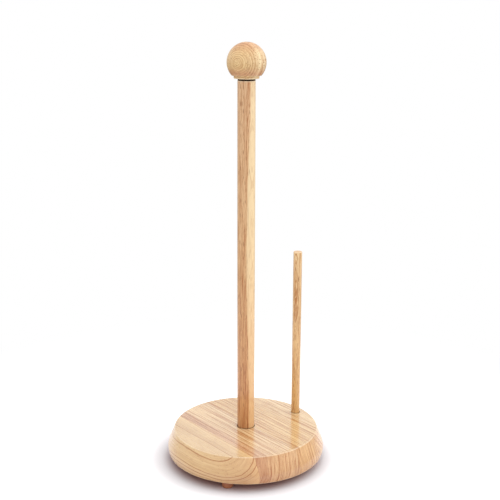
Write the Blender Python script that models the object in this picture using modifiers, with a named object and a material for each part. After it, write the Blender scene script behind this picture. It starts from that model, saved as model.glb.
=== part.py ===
"""Paper towel holder: a free-standing kitchen roll holder turned and glued up from rubberwood.

Metres, +Z up. The origin is on the floor, on the axis of the round base, and the side arm stands
on +X. The base is four boards glued edge to edge, both dowels sit in blind sockets in it, and the
ball knob screws off the top of the post on a right-hand M6 x 1 stud.
"""

import math

import bmesh
import bpy
from mathutils import Matrix

MM = 0.001
GAP = 0.3 * MM                       # left between two pieces that touch
OVERCUT = 1.0 * MM                   # cutters run this far past a face
PILOT_ROOM = 1.0 * MM                # empty bore beyond a screw's tip

# Feet: four tapered bumpers, each with a screw up its middle
FOOT_COUNT = 4
FOOT_CIRCLE_RADIUS = 65.0 * MM
FIRST_FOOT_ANGLE = math.radians(42.4)
FOOT_HEIGHT = 7.5 * MM               # floor to the underside of the base
FOOT_TOP_RADIUS = 5.75 * MM
FOOT_SOLE_RADIUS = 3.9 * MM
FOOT_EDGE_ROUND = 1.2 * MM
FOOT_EDGE_START = math.radians(10)   # the rounded edge runs from here down to the sole
FOOT_EDGE_END = math.radians(-90)
FOOT_HOLE_RADIUS = 1.8 * MM
FOOT_RECESS_RADIUS = 2.9 * MM
FOOT_RECESS_DEPTH = 3.0 * MM
FOOT_SCREW_RADIUS = 1.5 * MM
FOOT_SCREW_LENGTH = 13.0 * MM
FOOT_SCREW_HEAD_RADIUS = 2.5 * MM
FOOT_SCREW_HEAD_HEIGHT = 1.8 * MM
FOOT_PILOT_DEPTH = 9.0 * MM

# Base
BASE_RADIUS = 75.0 * MM
BASE_THICKNESS = 24.0 * MM
TOP_FACE_RADIUS = 68.4 * MM
NOSE_RADIUS = 12.8 * MM              # the round at the foot of the sloping side
WIDEST_HEIGHT = 5.4 * MM             # of the widest place above the underside
BASE_CHAMFER = 0.6 * MM
STAVE_TURN = math.radians(5.8)       # the boards' width runs this far round from +X
GLUE_LINES = (-36.5 * MM, 4.0 * MM, 35.0 * MM)
STAVES = ("base_stave_left", "base_stave_centre_left", "base_stave_centre_right", "base_stave_right")

# Post, with the screw and washer that hold its foot
POST_RADIUS = 8.1 * MM
POST_TOP = 361.6 * MM
POST_SOCKET_DEPTH = 12.0 * MM
DOWEL_CHAMFER = 0.5 * MM
POST_SCREW_RADIUS = 2.5 * MM
POST_SCREW_HOLE_RADIUS = 2.8 * MM
POST_SCREW_LENGTH = 40.0 * MM
POST_SCREW_HEAD_RADIUS = 5.0 * MM
POST_SCREW_HEAD_HEIGHT = 3.2 * MM
POST_WASHER_RADIUS = 7.0 * MM
POST_WASHER_THICKNESS = 1.2 * MM
COUNTERBORE_RADIUS = 8.2 * MM
COUNTERBORE_DEPTH = 6.0 * MM

# Outline of every screw
SCREW_TIP = 2.5                      # length of the point, in shank radii
SCREW_DOME = 0.45                    # share of the head's height that is domed
SCREW_SHOULDER_RADIUS = 0.85         # the dome's corner, as shares of head radius and dome height
SCREW_SHOULDER_HEIGHT = 0.3
SCREW_CROWN_RADIUS = 0.55            # flat middle of the head, share of its radius
RECESS_REACH = 0.6                   # cross recess, as shares of the head's radius and height
RECESS_HALF_WIDTH = 0.12
RECESS_DEPTH = 0.6

# Side arm
ARM_RADIUS = 4.1 * MM
ARM_DISTANCE = 58.9 * MM             # from the post's axis
ARM_TOP = 196.6 * MM
ARM_SOCKET_DEPTH = 16.0 * MM

# Knob, and what joins it to the post
BALL_RADIUS = 17.6 * MM
BALL_HEIGHT = 376.9 * MM             # of its centre
COLLAR_RADIUS = 11.4 * MM
COLLAR_BOTTOM = 362.7 * MM
COLLAR_HEIGHT = 3.0 * MM
COLLAR_GROOVE = 0.3 * MM
STUD_RADIUS = 3.0 * MM
STUD_DEPTH_IN_KNOB = 14.3 * MM
STUD_DEPTH_IN_POST = 12.0 * MM       # also the knob's travel
STUD_CHAMFER = 0.6 * MM
INSERT_LENGTH = 13.0 * MM
INSERT_RADIUS = 4.4 * MM
INSERT_BARB = 0.3 * MM
INSERT_BARBS = 3
INSERT_BARB_SLOPE = 0.8              # share of each barb's pitch
THREAD_CLEARANCE = 0.08 * MM
KNOB_WASHER_RADIUS = 7.1 * MM

# Facets
BASE_STEPS = 96
POST_STEPS = 48
KNOB_STEPS = 48
SMALL_STEPS = 32
FOOT_STEPS = 24
PILOT_STEPS = 16
BALL_ARC_POINTS = 15
NOSE_ARC_POINTS = 7
FOOT_ARC_POINTS = 4
SMOOTH_ANGLE = math.radians(35)
MERGE_DISTANCE = 0.01 * MM

# Heights that follow from the above
BASE_TOP = FOOT_HEIGHT + BASE_THICKNESS
POST_SOCKET_FLOOR = BASE_TOP - POST_SOCKET_DEPTH
COUNTERBORE_CEILING = FOOT_HEIGHT + COUNTERBORE_DEPTH
POST_SCREW_HEAD_TOP = COUNTERBORE_CEILING - POST_WASHER_THICKNESS - 2 * GAP
INSERT_TOP = POST_TOP - GAP

# Colour, roughness, metallic
FINISHES = {
    "pale_wood": ((0.72, 0.53, 0.33), 0.38, 0.0),
    "pink_wood": ((0.66, 0.42, 0.25), 0.38, 0.0),
    "dowel_wood": ((0.68, 0.42, 0.23), 0.38, 0.0),
    "knob_wood": ((0.68, 0.43, 0.21), 0.36, 0.0),
    "brown_rubber": ((0.30, 0.11, 0.05), 0.60, 0.0),
    "black_fibre": ((0.012, 0.009, 0.008), 0.70, 0.0),
    "zinc": ((0.62, 0.60, 0.56), 0.35, 1.0),
    "steel": ((0.58, 0.58, 0.60), 0.30, 1.0),
}


def clear_scene():
    for leftover in list(bpy.data.objects):
        bpy.data.objects.remove(leftover, do_unlink=True)


def new_collection(name):
    collection = bpy.data.collections.new(name)
    bpy.context.scene.collection.children.link(collection)
    return collection


def new_material(name, finish):
    colour, roughness, metallic = FINISHES[finish]
    material = bpy.data.materials.new(name)
    material.use_nodes = True
    shader = material.node_tree.nodes["Principled BSDF"]
    shader.inputs["Base Color"].default_value = (*colour, 1.0)
    shader.inputs["Roughness"].default_value = roughness
    shader.inputs["Metallic"].default_value = metallic
    return material


def arc(centre, radius, start, end, count):
    """Points of an arc in the (radius, height) half-plane, both ends included."""
    angles = [start + (end - start) * i / (count - 1) for i in range(count)]
    return [(centre[0] + radius * math.cos(a), centre[1] + radius * math.sin(a)) for a in angles]


def turned_mesh(name, outline, steps, closed=False):
    """Turn an outline round the Z axis. It runs down the outer side; closed ones are rings."""
    profile = bpy.data.meshes.new(name)
    edges = [(i, i + 1) for i in range(len(outline) - 1)]
    if closed:
        edges.append((len(outline) - 1, 0))
    profile.from_pydata([(r, 0.0, z) for r, z in outline], edges, [])
    blank = bpy.data.objects.new(name, profile)
    bpy.context.scene.collection.objects.link(blank)
    screw = blank.modifiers.new("turn", "SCREW")
    screw.axis = "Z"
    screw.steps = screw.render_steps = steps
    screw.use_merge_vertices = True
    screw.merge_threshold = MERGE_DISTANCE
    depsgraph = bpy.context.evaluated_depsgraph_get()
    mesh = bpy.data.meshes.new_from_object(blank.evaluated_get(depsgraph))
    bpy.data.objects.remove(blank, do_unlink=True)
    mesh.name = name
    mesh.shade_smooth()
    mesh.set_sharp_from_angle(angle=SMOOTH_ANGLE)
    return mesh


def box_mesh(name, low, high):
    mesh = bpy.data.meshes.new(name)
    size = [b - a for a, b in zip(low, high)]
    centre = [(a + b) / 2 for a, b in zip(low, high)]
    bm = bmesh.new()
    bmesh.ops.create_cube(bm, size=1.0, matrix=Matrix.Translation(centre) @ Matrix.Diagonal((*size, 1.0)))
    bm.to_mesh(mesh)
    bm.free()
    return mesh


def add_piece(name, mesh, finish, parent, x=0.0, y=0.0):
    piece = bpy.data.objects.new(name, mesh)
    parts.objects.link(piece)
    piece.parent = parent
    piece.location = (x, y, 0.0)
    material = new_material(name + "_finish", finish)
    if not mesh.materials:
        mesh.materials.append(material)
    piece.material_slots[0].link = "OBJECT"
    piece.material_slots[0].material = material
    return piece


def add_cutter(name, mesh, collection, x=0.0, y=0.0, turn=0.0):
    cutter = bpy.data.objects.new(name, mesh)
    collection.objects.link(cutter)
    cutter.location = (x, y, 0.0)
    cutter.rotation_euler.z = turn
    cutter.hide_render = True
    cutter.display_type = "WIRE"
    return cutter


def add_boolean(piece, operation, cutter=None, collection=None):
    boolean = piece.modifiers.new(operation.lower(), "BOOLEAN")
    boolean.operation = operation
    boolean.solver = "EXACT"
    if collection:
        boolean.operand_type = "COLLECTION"
        boolean.collection = collection
    else:
        boolean.object = cutter


def foot_places():
    """The (x, y) of each foot."""
    angles = [FIRST_FOOT_ANGLE + math.tau * i / FOOT_COUNT for i in range(FOOT_COUNT)]
    return [(FOOT_CIRCLE_RADIUS * math.cos(a), FOOT_CIRCLE_RADIUS * math.sin(a)) for a in angles]


def base_outline():
    """The side slopes straight out from the top face, then runs into the round nose."""
    nose = (BASE_RADIUS - NOSE_RADIUS, FOOT_HEIGHT + WIDEST_HEIGHT)
    run, rise = TOP_FACE_RADIUS - nose[0], BASE_TOP - nose[1]
    touch = math.atan2(rise, run) - math.acos(NOSE_RADIUS / math.hypot(run, rise))
    end = -math.asin((WIDEST_HEIGHT - BASE_CHAMFER) / NOSE_RADIUS)
    side = arc(nose, NOSE_RADIUS, touch, end, NOSE_ARC_POINTS)
    return [
        (0.0, BASE_TOP),
        (TOP_FACE_RADIUS - BASE_CHAMFER, BASE_TOP),
        (TOP_FACE_RADIUS + BASE_CHAMFER * math.sin(touch), BASE_TOP - BASE_CHAMFER * math.cos(touch)),
        *side,
        (side[-1][0] - BASE_CHAMFER, FOOT_HEIGHT),
        (0.0, FOOT_HEIGHT),
    ]


def add_base(parent):
    """Four boards: the same turned disc, cut down to each board's width and drilled."""
    beyond = BASE_RADIUS + OVERCUT
    bores = new_collection("base_bores")
    centre_bore = [
        (0.0, BASE_TOP + OVERCUT),
        (POST_RADIUS + GAP, BASE_TOP + OVERCUT),
        (POST_RADIUS + GAP, POST_SOCKET_FLOOR),
        (POST_SCREW_HOLE_RADIUS, POST_SOCKET_FLOOR),
        (POST_SCREW_HOLE_RADIUS, COUNTERBORE_CEILING),
        (COUNTERBORE_RADIUS, COUNTERBORE_CEILING),
        (COUNTERBORE_RADIUS, FOOT_HEIGHT - OVERCUT),
        (0.0, FOOT_HEIGHT - OVERCUT),
    ]
    add_cutter("centre_bore", turned_mesh("centre_bore", centre_bore, POST_STEPS), bores)
    arm_socket = [
        (0.0, BASE_TOP + OVERCUT),
        (ARM_RADIUS + GAP, BASE_TOP + OVERCUT),
        (ARM_RADIUS + GAP, BASE_TOP - ARM_SOCKET_DEPTH),
        (0.0, BASE_TOP - ARM_SOCKET_DEPTH),
    ]
    add_cutter("arm_socket", turned_mesh("arm_socket", arm_socket, SMALL_STEPS), bores, ARM_DISTANCE)
    pilot = [
        (0.0, FOOT_HEIGHT + FOOT_PILOT_DEPTH),
        (FOOT_HOLE_RADIUS, FOOT_HEIGHT + FOOT_PILOT_DEPTH),
        (FOOT_HOLE_RADIUS, FOOT_HEIGHT - OVERCUT),
        (0.0, FOOT_HEIGHT - OVERCUT),
    ]
    pilot_mesh = turned_mesh("foot_pilot", pilot, PILOT_STEPS)
    for number, (x, y) in enumerate(foot_places(), 1):
        add_cutter(f"foot_pilot_{number}", pilot_mesh, bores, x, y)

    disc = turned_mesh("base_disc", base_outline(), BASE_STEPS)
    sides = (-beyond, *GLUE_LINES, beyond)
    for index, name in enumerate(STAVES):
        low = (sides[index] + GAP / 2, -beyond, 0.0)
        high = (sides[index + 1] - GAP / 2, beyond, BASE_TOP + OVERCUT)
        slab = add_cutter(name + "_slab", box_mesh(name + "_slab", low, high), cutters, turn=STAVE_TURN)
        finish = "pale_wood" if index == 0 else "pink_wood"
        stave = add_piece(name, disc.copy(), finish, parent)
        add_boolean(stave, "INTERSECT", slab)
        add_boolean(stave, "DIFFERENCE", collection=bores)


def add_post(parent):
    foot = POST_SOCKET_FLOOR + GAP
    pilot_top = POST_SCREW_HEAD_TOP + POST_SCREW_LENGTH + PILOT_ROOM
    insert_bore = INSERT_RADIUS + INSERT_BARB + GAP
    insert_floor = INSERT_TOP - INSERT_LENGTH - GAP
    outline = [
        (0.0, insert_floor),
        (insert_bore, insert_floor),
        (insert_bore, POST_TOP),
        (POST_RADIUS - DOWEL_CHAMFER, POST_TOP),
        (POST_RADIUS, POST_TOP - DOWEL_CHAMFER),
        (POST_RADIUS, foot + DOWEL_CHAMFER),
        (POST_RADIUS - DOWEL_CHAMFER, foot),
        (POST_SCREW_HOLE_RADIUS, foot),
        (POST_SCREW_HOLE_RADIUS, pilot_top),
        (0.0, pilot_top),
    ]
    add_piece("post", turned_mesh("post", outline, POST_STEPS), "dowel_wood", parent)


def add_side_arm(parent):
    foot = BASE_TOP - ARM_SOCKET_DEPTH + GAP
    outline = [
        (0.0, ARM_TOP),
        (ARM_RADIUS - DOWEL_CHAMFER, ARM_TOP),
        (ARM_RADIUS, ARM_TOP - DOWEL_CHAMFER),
        (ARM_RADIUS, foot + DOWEL_CHAMFER),
        (ARM_RADIUS - DOWEL_CHAMFER, foot),
        (0.0, foot),
    ]
    mesh = turned_mesh("side_arm", outline, SMALL_STEPS)
    add_piece("side_arm", mesh, "dowel_wood", parent, ARM_DISTANCE)


def wood_screw_mesh(name, head_top, length, radius, head_radius, head_height, steps):
    """A pan-head screw that points up, with a cross recess in its head. The thread isn't cut."""
    crown = head_top - head_height
    dome = SCREW_DOME * head_height
    outline = [
        (0.0, head_top + length),
        (radius, head_top + length - SCREW_TIP * radius),
        (radius, head_top),
        (head_radius, head_top),
        (head_radius, crown + dome),
        (SCREW_SHOULDER_RADIUS * head_radius, crown + SCREW_SHOULDER_HEIGHT * dome),
        (SCREW_CROWN_RADIUS * head_radius, crown),
        (0.0, crown),
    ]
    blank = bpy.data.objects.new(name, turned_mesh(name, outline, steps))
    cutters.objects.link(blank)
    reach, width = RECESS_REACH * head_radius, RECESS_HALF_WIDTH * head_radius
    low_z, high_z = crown - OVERCUT, crown + RECESS_DEPTH * head_height
    bars = []
    for half_x, half_y in ((reach, width), (width, reach)):
        mesh = box_mesh(name + "_recess", (-half_x, -half_y, low_z), (half_x, half_y, high_z))
        bars.append(add_cutter(name + "_recess", mesh, cutters))
        add_boolean(blank, "DIFFERENCE", bars[-1])
    depsgraph = bpy.context.evaluated_depsgraph_get()
    cut = bpy.data.meshes.new_from_object(blank.evaluated_get(depsgraph))
    for leftover in (blank, *bars):
        bpy.data.objects.remove(leftover, do_unlink=True)
    return cut


def add_post_screw(parent):
    mesh = wood_screw_mesh(
        "post_screw", POST_SCREW_HEAD_TOP, POST_SCREW_LENGTH, POST_SCREW_RADIUS,
        POST_SCREW_HEAD_RADIUS, POST_SCREW_HEAD_HEIGHT, SMALL_STEPS)
    add_piece("post_screw", mesh, "steel", parent)
    top = COUNTERBORE_CEILING - GAP
    ring = [
        (POST_WASHER_RADIUS, top),
        (POST_WASHER_RADIUS, top - POST_WASHER_THICKNESS),
        (POST_SCREW_HOLE_RADIUS, top - POST_WASHER_THICKNESS),
        (POST_SCREW_HOLE_RADIUS, top),
    ]
    mesh = turned_mesh("post_screw_washer", ring, SMALL_STEPS, closed=True)
    add_piece("post_screw_washer", mesh, "zinc", parent)


def add_feet(parent):
    top = FOOT_HEIGHT - GAP
    edge = (FOOT_SOLE_RADIUS, FOOT_EDGE_ROUND)
    foot_ring = [
        (FOOT_TOP_RADIUS, top),
        *arc(edge, FOOT_EDGE_ROUND, FOOT_EDGE_START, FOOT_EDGE_END, FOOT_ARC_POINTS),
        (FOOT_RECESS_RADIUS, 0.0),
        (FOOT_RECESS_RADIUS, FOOT_RECESS_DEPTH),
        (FOOT_HOLE_RADIUS, FOOT_RECESS_DEPTH),
        (FOOT_HOLE_RADIUS, top),
    ]
    foot_mesh = turned_mesh("foot", foot_ring, FOOT_STEPS, closed=True)
    screw_mesh = wood_screw_mesh(
        "foot_screw", FOOT_RECESS_DEPTH - GAP, FOOT_SCREW_LENGTH, FOOT_SCREW_RADIUS,
        FOOT_SCREW_HEAD_RADIUS, FOOT_SCREW_HEAD_HEIGHT, FOOT_STEPS)
    for number, (x, y) in enumerate(foot_places(), 1):
        add_piece(f"foot_{number}", foot_mesh, "brown_rubber", parent, x, y)
        add_piece(f"foot_screw_{number}", screw_mesh, "steel", parent, x, y)


def add_insert(parent):
    """A push-in threaded insert: three barbs outside, a plain bore for its thread."""
    bottom = INSERT_TOP - INSERT_LENGTH
    bore = STUD_RADIUS + THREAD_CLEARANCE
    pitch = INSERT_LENGTH / INSERT_BARBS
    outline = []
    for barb in range(INSERT_BARBS):
        upper = INSERT_TOP - barb * pitch
        outline += [(INSERT_RADIUS + INSERT_BARB, upper), (INSERT_RADIUS, upper - INSERT_BARB_SLOPE * pitch)]
    outline += [(INSERT_RADIUS, bottom), (bore, bottom), (bore, INSERT_TOP)]
    mesh = turned_mesh("post_insert", outline, SMALL_STEPS, closed=True)
    add_piece("post_insert", mesh, "zinc", parent)


def add_knob_washer(parent):
    bottom, top = POST_TOP + GAP, COLLAR_BOTTOM - GAP
    hole = STUD_RADIUS + GAP
    ring = [(KNOB_WASHER_RADIUS, top), (KNOB_WASHER_RADIUS, bottom), (hole, bottom), (hole, top)]
    mesh = turned_mesh("knob_washer", ring, SMALL_STEPS, closed=True)
    add_piece("knob_washer", mesh, "black_fibre", parent)


def add_knob(parent):
    """A ball cut off at its collar, with a blind hole for the stud, and the stud itself."""
    collar_top = COLLAR_BOTTOM + COLLAR_HEIGHT
    cut_angle = -math.asin((BALL_HEIGHT - collar_top) / BALL_RADIUS)
    hole = STUD_RADIUS + GAP
    stud_top = COLLAR_BOTTOM + STUD_DEPTH_IN_KNOB
    ball = arc((0.0, BALL_HEIGHT), BALL_RADIUS, math.pi / 2, cut_angle, BALL_ARC_POINTS)
    outline = [
        (0.0, BALL_HEIGHT + BALL_RADIUS),
        *ball[1:],
        (COLLAR_RADIUS - COLLAR_GROOVE, collar_top - COLLAR_GROOVE),
        (COLLAR_RADIUS, collar_top - 2 * COLLAR_GROOVE),
        (COLLAR_RADIUS, COLLAR_BOTTOM + DOWEL_CHAMFER),
        (COLLAR_RADIUS - DOWEL_CHAMFER, COLLAR_BOTTOM),
        (hole, COLLAR_BOTTOM),
        (hole, stud_top + GAP),
        (0.0, stud_top + GAP),
    ]
    add_piece("knob", turned_mesh("knob", outline, KNOB_STEPS), "knob_wood", parent)
    stud_bottom = POST_TOP - STUD_DEPTH_IN_POST
    outline = [
        (0.0, stud_top),
        (STUD_RADIUS - STUD_CHAMFER, stud_top),
        (STUD_RADIUS, stud_top - STUD_CHAMFER),
        (STUD_RADIUS, stud_bottom + STUD_CHAMFER),
        (STUD_RADIUS - STUD_CHAMFER, stud_bottom),
        (0.0, stud_bottom),
    ]
    add_piece("knob_stud", turned_mesh("knob_stud", outline, SMALL_STEPS), "steel", parent)


clear_scene()
parts = new_collection("paper_towel_holder")
cutters = new_collection("cutters")
holder = bpy.data.objects.new("holder", None)
knob_axis = bpy.data.objects.new("knob_axis", None)
for empty in (holder, knob_axis):
    parts.objects.link(empty)
knob_axis.parent = holder

add_base(holder)
add_post(holder)
add_side_arm(holder)
add_post_screw(holder)
add_feet(holder)
add_insert(holder)
add_knob_washer(knob_axis)
add_knob(knob_axis)
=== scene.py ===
"""Looks of the paper towel holder: clear-lacquered rubberwood, rubber feet and small metal parts.

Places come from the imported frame. Sizes the frame doesn't give are named below, in metres.
Materials work in millimetres, in each piece's own coordinates, so the grain moves with its piece.
"""

import math

import bmesh
import bpy
from mathutils import Euler, Matrix, Vector


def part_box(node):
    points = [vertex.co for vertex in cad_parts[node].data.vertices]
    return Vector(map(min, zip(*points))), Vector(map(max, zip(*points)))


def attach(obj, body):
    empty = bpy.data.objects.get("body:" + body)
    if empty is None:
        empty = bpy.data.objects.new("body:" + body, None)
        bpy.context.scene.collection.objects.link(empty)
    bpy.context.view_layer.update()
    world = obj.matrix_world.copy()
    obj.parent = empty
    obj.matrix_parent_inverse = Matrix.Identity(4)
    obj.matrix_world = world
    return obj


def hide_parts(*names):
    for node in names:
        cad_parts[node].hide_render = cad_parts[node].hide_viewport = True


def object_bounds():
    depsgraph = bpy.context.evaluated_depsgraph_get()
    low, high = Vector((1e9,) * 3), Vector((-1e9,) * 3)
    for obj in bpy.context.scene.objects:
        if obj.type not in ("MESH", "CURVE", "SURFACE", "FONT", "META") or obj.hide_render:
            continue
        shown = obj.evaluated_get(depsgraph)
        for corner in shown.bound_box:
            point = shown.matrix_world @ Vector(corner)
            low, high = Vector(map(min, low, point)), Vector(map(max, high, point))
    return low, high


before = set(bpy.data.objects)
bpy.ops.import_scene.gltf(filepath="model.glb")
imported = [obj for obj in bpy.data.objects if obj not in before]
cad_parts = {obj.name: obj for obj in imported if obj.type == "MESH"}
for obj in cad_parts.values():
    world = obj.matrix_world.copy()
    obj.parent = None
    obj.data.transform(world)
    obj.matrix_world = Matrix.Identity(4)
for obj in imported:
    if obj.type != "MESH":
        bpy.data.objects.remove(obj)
cad_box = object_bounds()

MM = 0.001


# ---------------------------------------------------------------- places, from the frame

def limits(node):
    """Lowest and highest corner of a CAD node, and its centre."""
    low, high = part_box(node)
    return low, high, (low + high) / 2


STAVES = ("base_stave_left", "base_stave_centre_left", "base_stave_centre_right", "base_stave_right")
BASE_RADIUS = cad_box[1].x
BASE_BOTTOM, BASE_TOP = (corner.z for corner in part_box(STAVES[0]))
POST_FOOT, POST_TOP = (corner.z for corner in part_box("post"))
POST_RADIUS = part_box("post")[1].x
ARM_LOW, ARM_HIGH, ARM_CENTRE = limits("side_arm")
ARM_RADIUS = (ARM_HIGH.x - ARM_LOW.x) / 2
COLLAR_BOTTOM, KNOB_TOP = (corner.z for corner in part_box("knob"))
STUD_BOTTOM, STUD_TOP = (corner.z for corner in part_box("knob_stud"))
INSERT_BOTTOM, INSERT_TOP = (corner.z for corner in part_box("post_insert"))
FEET = [limits(f"foot_{number}") for number in range(1, 5)]

# ---------------------------------------------------------------- sizes

STAVE_TURN = math.radians(5.8)       # the boards' width runs this far round from +X
GLUE_LINES = (-36.5 * MM, 4.0 * MM, 35.0 * MM)
GLUE_LINE_WIDTH = 0.05 * MM
TOP_FACE_RADIUS = 68.4 * MM
NOSE_RADIUS = 12.8 * MM
WIDEST_HEIGHT = 5.4 * MM             # above the underside
TOP_EDGE_ROUND = 0.9 * MM
BOTTOM_EDGE_ROUND = 0.7 * MM
SOCKET_GAP = 0.35 * MM               # seen round the foot of each dowel
SOCKET_ARRIS = 0.2 * MM
COUNTERBORE_RADIUS = 8.2 * MM
COUNTERBORE_DEPTH = 6.0 * MM
SCREW_HOLE_RADIUS = 2.8 * MM         # in the base, the post's foot and the washer
FOOT_PILOT_RADIUS = 1.8 * MM
FOOT_PILOT_DEPTH = 9.0 * MM
DOWEL_EDGE_ROUND = 0.5 * MM
JOINT_SHADOW = 0.55 * MM             # from the CAD post's top down to this one's, for the black washer
BALL_RADIUS = 17.6 * MM
COLLAR_RADIUS = 11.4 * MM
COLLAR_HEIGHT = 3.0 * MM
STUD_RADIUS = 3.0 * MM
STUD_PITCH = 1.0 * MM
STUD_CORE_RADIUS = STUD_RADIUS - 0.61 * STUD_PITCH
STUD_LEAD = 0.7 * MM                 # length of the bevel at each end
THREAD_CLEARANCE = 0.08 * MM
INSERT_RADIUS = 4.4 * MM
INSERT_BARB = 0.3 * MM
INSERT_BARBS = 3
INSERT_BORE_FLOOR = 0.3 * MM
KNOB_WASHER_RADIUS = 7.9 * MM
WASHER_CLEARANCE = 0.02 * MM
POST_SCREW_RADIUS = 2.5 * MM
POST_SCREW_PITCH = 2.2 * MM
FOOT_SCREW_RADIUS = 1.5 * MM
FOOT_SCREW_PITCH = 1.3 * MM
FOOT_TOP_RADIUS = 5.75 * MM
FOOT_SOLE_RADIUS = 5.1 * MM
FOOT_RECESS_RADIUS = 2.9 * MM
FOOT_RECESS_DEPTH = 3.0 * MM

COAT_WEIGHT = 1.0
COAT_ROUGHNESS = 0.14
COAT_IOR = 1.7

BASE_STEPS = 192
DOWEL_STEPS = 96
SMALL_STEPS = 48
SCREW_STEPS = 24                     # round a screw's shank or a pilot hole
SMOOTH_ANGLE = math.radians(32)
ON_AXIS = 1e-7                       # a point this near the axis is one vertex, not a ring
SAME_HEIGHT = 1e-6

# ---------------------------------------------------------------- mesh work


def rounded(corners, segments=5):
    """Outline through (radius, height, fillet) corners, with each fillet drawn as an arc."""
    outline = []
    for index, (radius, height, fillet) in enumerate(corners):
        here = Vector((radius, height))
        if not fillet:
            outline.append(here)
            continue
        back = (Vector(corners[index - 1][:2]) - here).normalized()
        ahead = (Vector(corners[(index + 1) % len(corners)][:2]) - here).normalized()
        half = back.angle(ahead) / 2
        centre = here + (back + ahead).normalized() * fillet / math.sin(half)
        start = here + back * fillet / math.tan(half) - centre
        sweep = start.angle_signed(here + ahead * fillet / math.tan(half) - centre)
        for step in range(segments + 1):
            spoke = start.copy()
            spoke.rotate(Matrix.Rotation(-sweep * step / segments, 2))
            outline.append(centre + spoke)
    return outline


def finished(bm, name):
    """Turn a bmesh into a smooth-shaded mesh with crisp edges."""
    bmesh.ops.remove_doubles(bm, verts=bm.verts, dist=0.002 * MM)
    bmesh.ops.recalc_face_normals(bm, faces=bm.faces)
    mesh = bpy.data.meshes.new(name)
    bm.to_mesh(mesh)
    bm.free()
    mesh.shade_smooth()
    mesh.set_sharp_from_angle(angle=SMOOTH_ANGLE)
    return mesh


def turned(name, outline, steps, closed=False, x=0.0, y=0.0):
    """An outline of (radius, height) points turned round a vertical axis at (x, y)."""
    bm = bmesh.new()
    rings = []
    for radius, height in outline:
        count = steps if radius > ON_AXIS else 1
        angles = [math.tau * i / count for i in range(count)]
        rings.append([bm.verts.new((x + radius * math.cos(a), y + radius * math.sin(a), height))
                      for a in angles])
    pairs = list(zip(rings, rings[1:]))
    if closed:
        pairs.append((rings[-1], rings[0]))
    for upper, lower in pairs:
        for i in range(steps):
            j = (i + 1) % steps
            corners = [upper[i % len(upper)], lower[i % len(lower)],
                       lower[j % len(lower)], upper[j % len(upper)]]
            corners = list(dict.fromkeys(corners))
            if len(corners) > 2:
                bm.faces.new(corners)
    return finished(bm, name)


def cut(mesh, operation, *cutters):
    """The mesh after an exact boolean with each cutter."""
    blank = bpy.data.objects.new("blank", mesh)
    tools = [bpy.data.objects.new("tool", cutter) for cutter in cutters]
    for item in (blank, *tools):
        bpy.context.scene.collection.objects.link(item)
    for tool in tools:
        boolean = blank.modifiers.new("cut", "BOOLEAN")
        boolean.operation = operation
        boolean.solver = "EXACT"
        boolean.object = tool
    depsgraph = bpy.context.evaluated_depsgraph_get()
    result = bpy.data.meshes.new_from_object(blank.evaluated_get(depsgraph))
    for item in (blank, *tools):
        bpy.data.objects.remove(item)
    result.name = mesh.name
    result.shade_smooth()
    result.set_sharp_from_angle(angle=SMOOTH_ANGLE)
    return result


def threaded(name, low, high, pitch, profile, radius_at, steps=32):
    """A rod with a right-hand thread between two heights, on a grid that follows the helix.

    profile holds (share of the pitch, share of the way from core to crest); radius_at(height)
    gives (core, crest) radii there.
    """
    bm = bmesh.new()
    turns = math.ceil((high - low) / pitch) + 2
    rows = []
    for turn in range(turns):
        for share, crest_share in profile:
            row = []
            for i in range(steps + 1):
                height = low - pitch + pitch * (turn + share + i / steps)
                core, crest = radius_at(height)
                radius = core + (crest - core) * crest_share
                angle = math.tau * i / steps
                row.append(bm.verts.new((radius * math.cos(angle), radius * math.sin(angle), height)))
            rows.append(row)
    for lower, upper in zip(rows, rows[1:]):
        for i in range(steps):
            bm.faces.new((lower[i], lower[i + 1], upper[i + 1], upper[i]))
    bmesh.ops.remove_doubles(bm, verts=bm.verts, dist=0.001 * MM)
    for height, outward in ((low, -1), (high, 1)):
        geometry = bm.verts[:] + bm.edges[:] + bm.faces[:]
        bmesh.ops.bisect_plane(bm, geom=geometry, plane_co=(0, 0, height), plane_no=(0, 0, outward),
                               clear_outer=True)
        rim = [edge for edge in bm.edges
               if edge.is_boundary and all(abs(v.co.z - height) < SAME_HEIGHT for v in edge.verts)]
        bmesh.ops.edgeloop_fill(bm, edges=rim)
    return finished(bm, name)


def box(name, low, high, turn=0.0):
    """A box between two corners, turned round the vertical axis through the origin."""
    bm = bmesh.new()
    size = Vector(high) - Vector(low)
    matrix = Matrix.Rotation(turn, 4, "Z") @ Matrix.Translation((Vector(high) + Vector(low)) / 2)
    bmesh.ops.create_cube(bm, size=1.0, matrix=matrix @ Matrix.Diagonal((*size, 1.0)))
    return finished(bm, name)


def moved(mesh, x, y):
    copy = mesh.copy()
    copy.transform(Matrix.Translation((x, y, 0.0)))
    return copy


def add_piece(name, mesh, material, body, slot, *nodes):
    """Put a mesh in the scene as a piece that rides on a body and stands for CAD nodes."""
    piece = bpy.data.objects.new(name, mesh)
    bpy.context.scene.collection.objects.link(piece)
    mesh.materials.clear()
    mesh.materials.append(material)
    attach(piece, body)
    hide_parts(*nodes)
    return piece


# ---------------------------------------------------------------- materials


UP = (0.0, 0.0, 1.0)


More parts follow.
